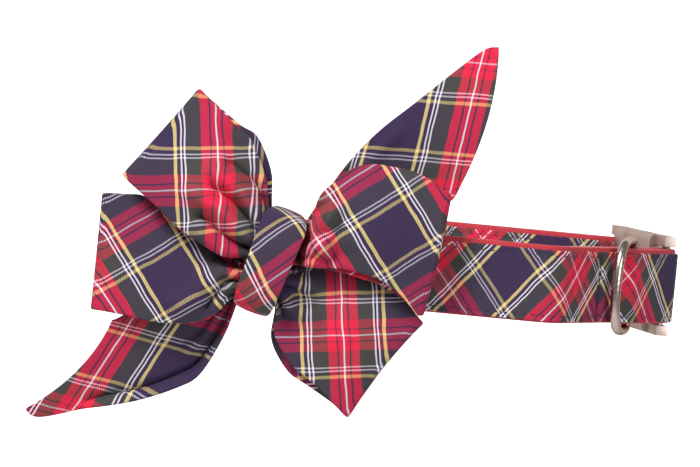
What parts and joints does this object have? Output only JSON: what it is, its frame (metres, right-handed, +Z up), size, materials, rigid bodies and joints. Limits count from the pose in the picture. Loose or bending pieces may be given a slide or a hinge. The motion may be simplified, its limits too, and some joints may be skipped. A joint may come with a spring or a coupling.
{
  "type": "pet bow tie collar",
  "caption": "Fastened webbing pet collar faced with tartan, with a pinwheel tartan bow, a leash ring and a metal side-release buckle.",
  "frame": {"origin": "middle of the neck opening, half way up the strap", "axes": "+Z up along the strap's width, -Y towards the viewer on the bow's side, +X towards the buckle's end"},
  "size_m": [0.2138, 0.1345, 0.1346],
  "materials": {
    "red_webbing": "woven nylon webbing, matt with a faint sheen",
    "tartan_cotton": "woven tartan cotton, matt",
    "nickel": "polished warm nickel plate"
  },
  "bodies": {
    "collar": {"webbing": "red_webbing", "tartan_facing": "tartan_cotton", "loop_upper_left": "tartan_cotton", "loop_lower_left": "tartan_cotton", "loop_upper_right": "tartan_cotton", "loop_lower_right": "tartan_cotton", "tail_upper": "tartan_cotton", "tail_lower": "tartan_cotton", "knot_band": "tartan_cotton", "buckle_socket": "nickel", "buckle_tongue": "nickel", "slide": "nickel"},
    "ring": {"d_ring": "nickel"}
  },
  "joints": [
    {"name": "ring_swing", "type": "hinge", "parent": "collar", "child": "ring", "pos_m": [0.07666, -0.01467, 0], "axis": [0, 0, 1], "range_deg": [-5, 130]}
  ]
}
